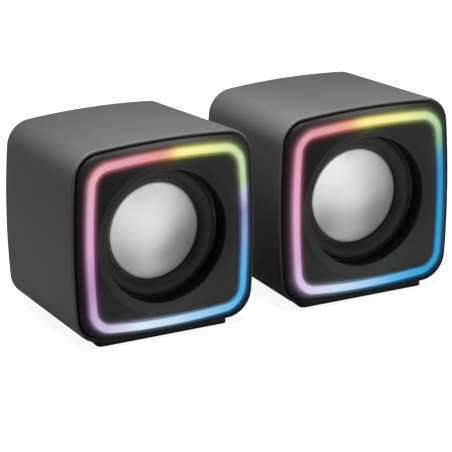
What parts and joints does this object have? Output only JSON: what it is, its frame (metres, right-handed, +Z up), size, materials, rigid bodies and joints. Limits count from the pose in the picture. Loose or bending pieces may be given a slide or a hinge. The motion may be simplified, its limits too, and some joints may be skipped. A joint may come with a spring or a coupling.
{
  "type": "desktop speakers",
  "caption": "Cube-shaped desktop speakers, each with a recessed silver-domed driver and a glowing colour ring round its front, and volume and light controls at the back.",
  "frame": {"origin": "on the table under the middle of the pair", "axes": "+X to the right as seen from the front, +Y from the drivers towards the back, +Z up"},
  "size_m": [0.1682, 0.0724, 0.0787],
  "materials": {
    "casing_plastic": "soft-touch dark grey moulding, fine grain, broad soft highlights",
    "baffle_plastic": "dark moulded plastic with a fine even texture, slightly glossier than the sleeve",
    "light_guide": "milky light guide, lit from behind, its colour changing round the ring",
    "dome_metal": "fine satin silver, slightly brushed",
    "surround_rubber": "soft black rubber half roll",
    "foot_rubber": "black non-slip rubber",
    "grommet_rubber": "black flexible bush",
    "rear_plastic": "black moulded panel with fine spark texture",
    "control_plastic": "black control moulding, satin",
    "cone_board": "pressed paper cone",
    "spider_cloth": "varnished corrugated cotton",
    "copper_wire": "enamelled copper winding on its former",
    "plated_steel": "zinc-plated steel",
    "black_steel": "black painted pressing",
    "screw_steel": "blackened cross-head screw",
    "ferrite": "sintered ferrite ring",
    "circuit_board": "green solder-masked board",
    "lead_sheath": "thin twin lead, kept inside the cabinet"
  },
  "bodies": {
    "right_cabinet": {"right_cabinet_shell": "casing_plastic", "right_front_baffle": "baffle_plastic", "right_light_ring": "light_guide", "right_led_board": "circuit_board", "right_driver_basket": "black_steel", "right_surround": "surround_rubber", "right_spider": "spider_cloth", "right_top_plate": "plated_steel", "right_magnet": "ferrite", "right_pole_yoke": "plated_steel", "right_terminal_strip": "rear_plastic", "right_driver_lead": "lead_sheath", "right_rear_panel": "rear_plastic", "right_cable_grommet": "grommet_rubber", "right_base_foot": "foot_rubber", "right_driver_screw_1": "plated_steel", "right_driver_screw_2": "plated_steel", "right_driver_screw_3": "plated_steel", "right_driver_screw_4": "plated_steel", "right_rear_screw_1": "screw_steel", "right_rear_screw_2": "screw_steel", "right_rear_screw_3": "screw_steel", "right_rear_screw_4": "screw_steel", "right_link_grommet": "grommet_rubber", "right_amplifier_board": "circuit_board", "right_volume_pot": "plated_steel", "right_pot_nut": "plated_steel", "right_button_switch": "rear_plastic"},
    "left_cabinet": {"left_cabinet_shell": "casing_plastic", "left_front_baffle": "baffle_plastic", "left_light_ring": "light_guide", "left_led_board": "circuit_board", "left_driver_basket": "black_steel", "left_surround": "surround_rubber", "left_spider": "spider_cloth", "left_top_plate": "plated_steel", "left_magnet": "ferrite", "left_pole_yoke": "plated_steel", "left_terminal_strip": "rear_plastic", "left_driver_lead": "lead_sheath", "left_rear_panel": "rear_plastic", "left_cable_grommet": "grommet_rubber", "left_base_foot": "foot_rubber", "left_driver_screw_1": "plated_steel", "left_driver_screw_2": "plated_steel", "left_driver_screw_3": "plated_steel", "left_driver_screw_4": "plated_steel", "left_rear_screw_1": "screw_steel", "left_rear_screw_2": "screw_steel", "left_rear_screw_3": "screw_steel", "left_rear_screw_4": "screw_steel"},
    "right_cone_assembly": {"right_dust_dome": "dome_metal", "right_cone": "cone_board", "right_voice_coil": "copper_wire"},
    "left_cone_assembly": {"left_dust_dome": "dome_metal", "left_cone": "cone_board", "left_voice_coil": "copper_wire"},
    "volume_control": {"right_pot_shaft": "plated_steel", "right_volume_knob": "control_plastic"},
    "light_switch": {"right_light_button": "control_plastic"}
  },
  "joints": [
    {"name": "left_unit_position", "type": "slide", "parent": "right_cabinet", "child": "left_cabinet", "axis": [-1, 0, 0], "range_m": [0, 0.1]},
    {"name": "right_cone_travel", "type": "slide", "parent": "right_cabinet", "child": "right_cone_assembly", "axis": [0, -1, 0], "range_m": [-0.0015, 0.0015], "stiffness_N_per_m": 1000, "deforming": ["right_surround", "right_spider"]},
    {"name": "left_cone_travel", "type": "slide", "parent": "left_cabinet", "child": "left_cone_assembly", "axis": [0, -1, 0], "range_m": [-0.0015, 0.0015], "stiffness_N_per_m": 1000, "deforming": ["left_surround", "left_spider"]},
    {"name": "volume_turn", "type": "hinge", "parent": "right_cabinet", "child": "volume_control", "pos_m": [0.04475, 0.0285, 0.04895], "axis": [0, -1, 0], "range_deg": [0, 300]},
    {"name": "light_button_press", "type": "slide", "parent": "right_cabinet", "child": "light_switch", "axis": [0, -1, 0], "range_m": [0, 0.0008], "stiffness_N_per_m": 2000}
  ]
}
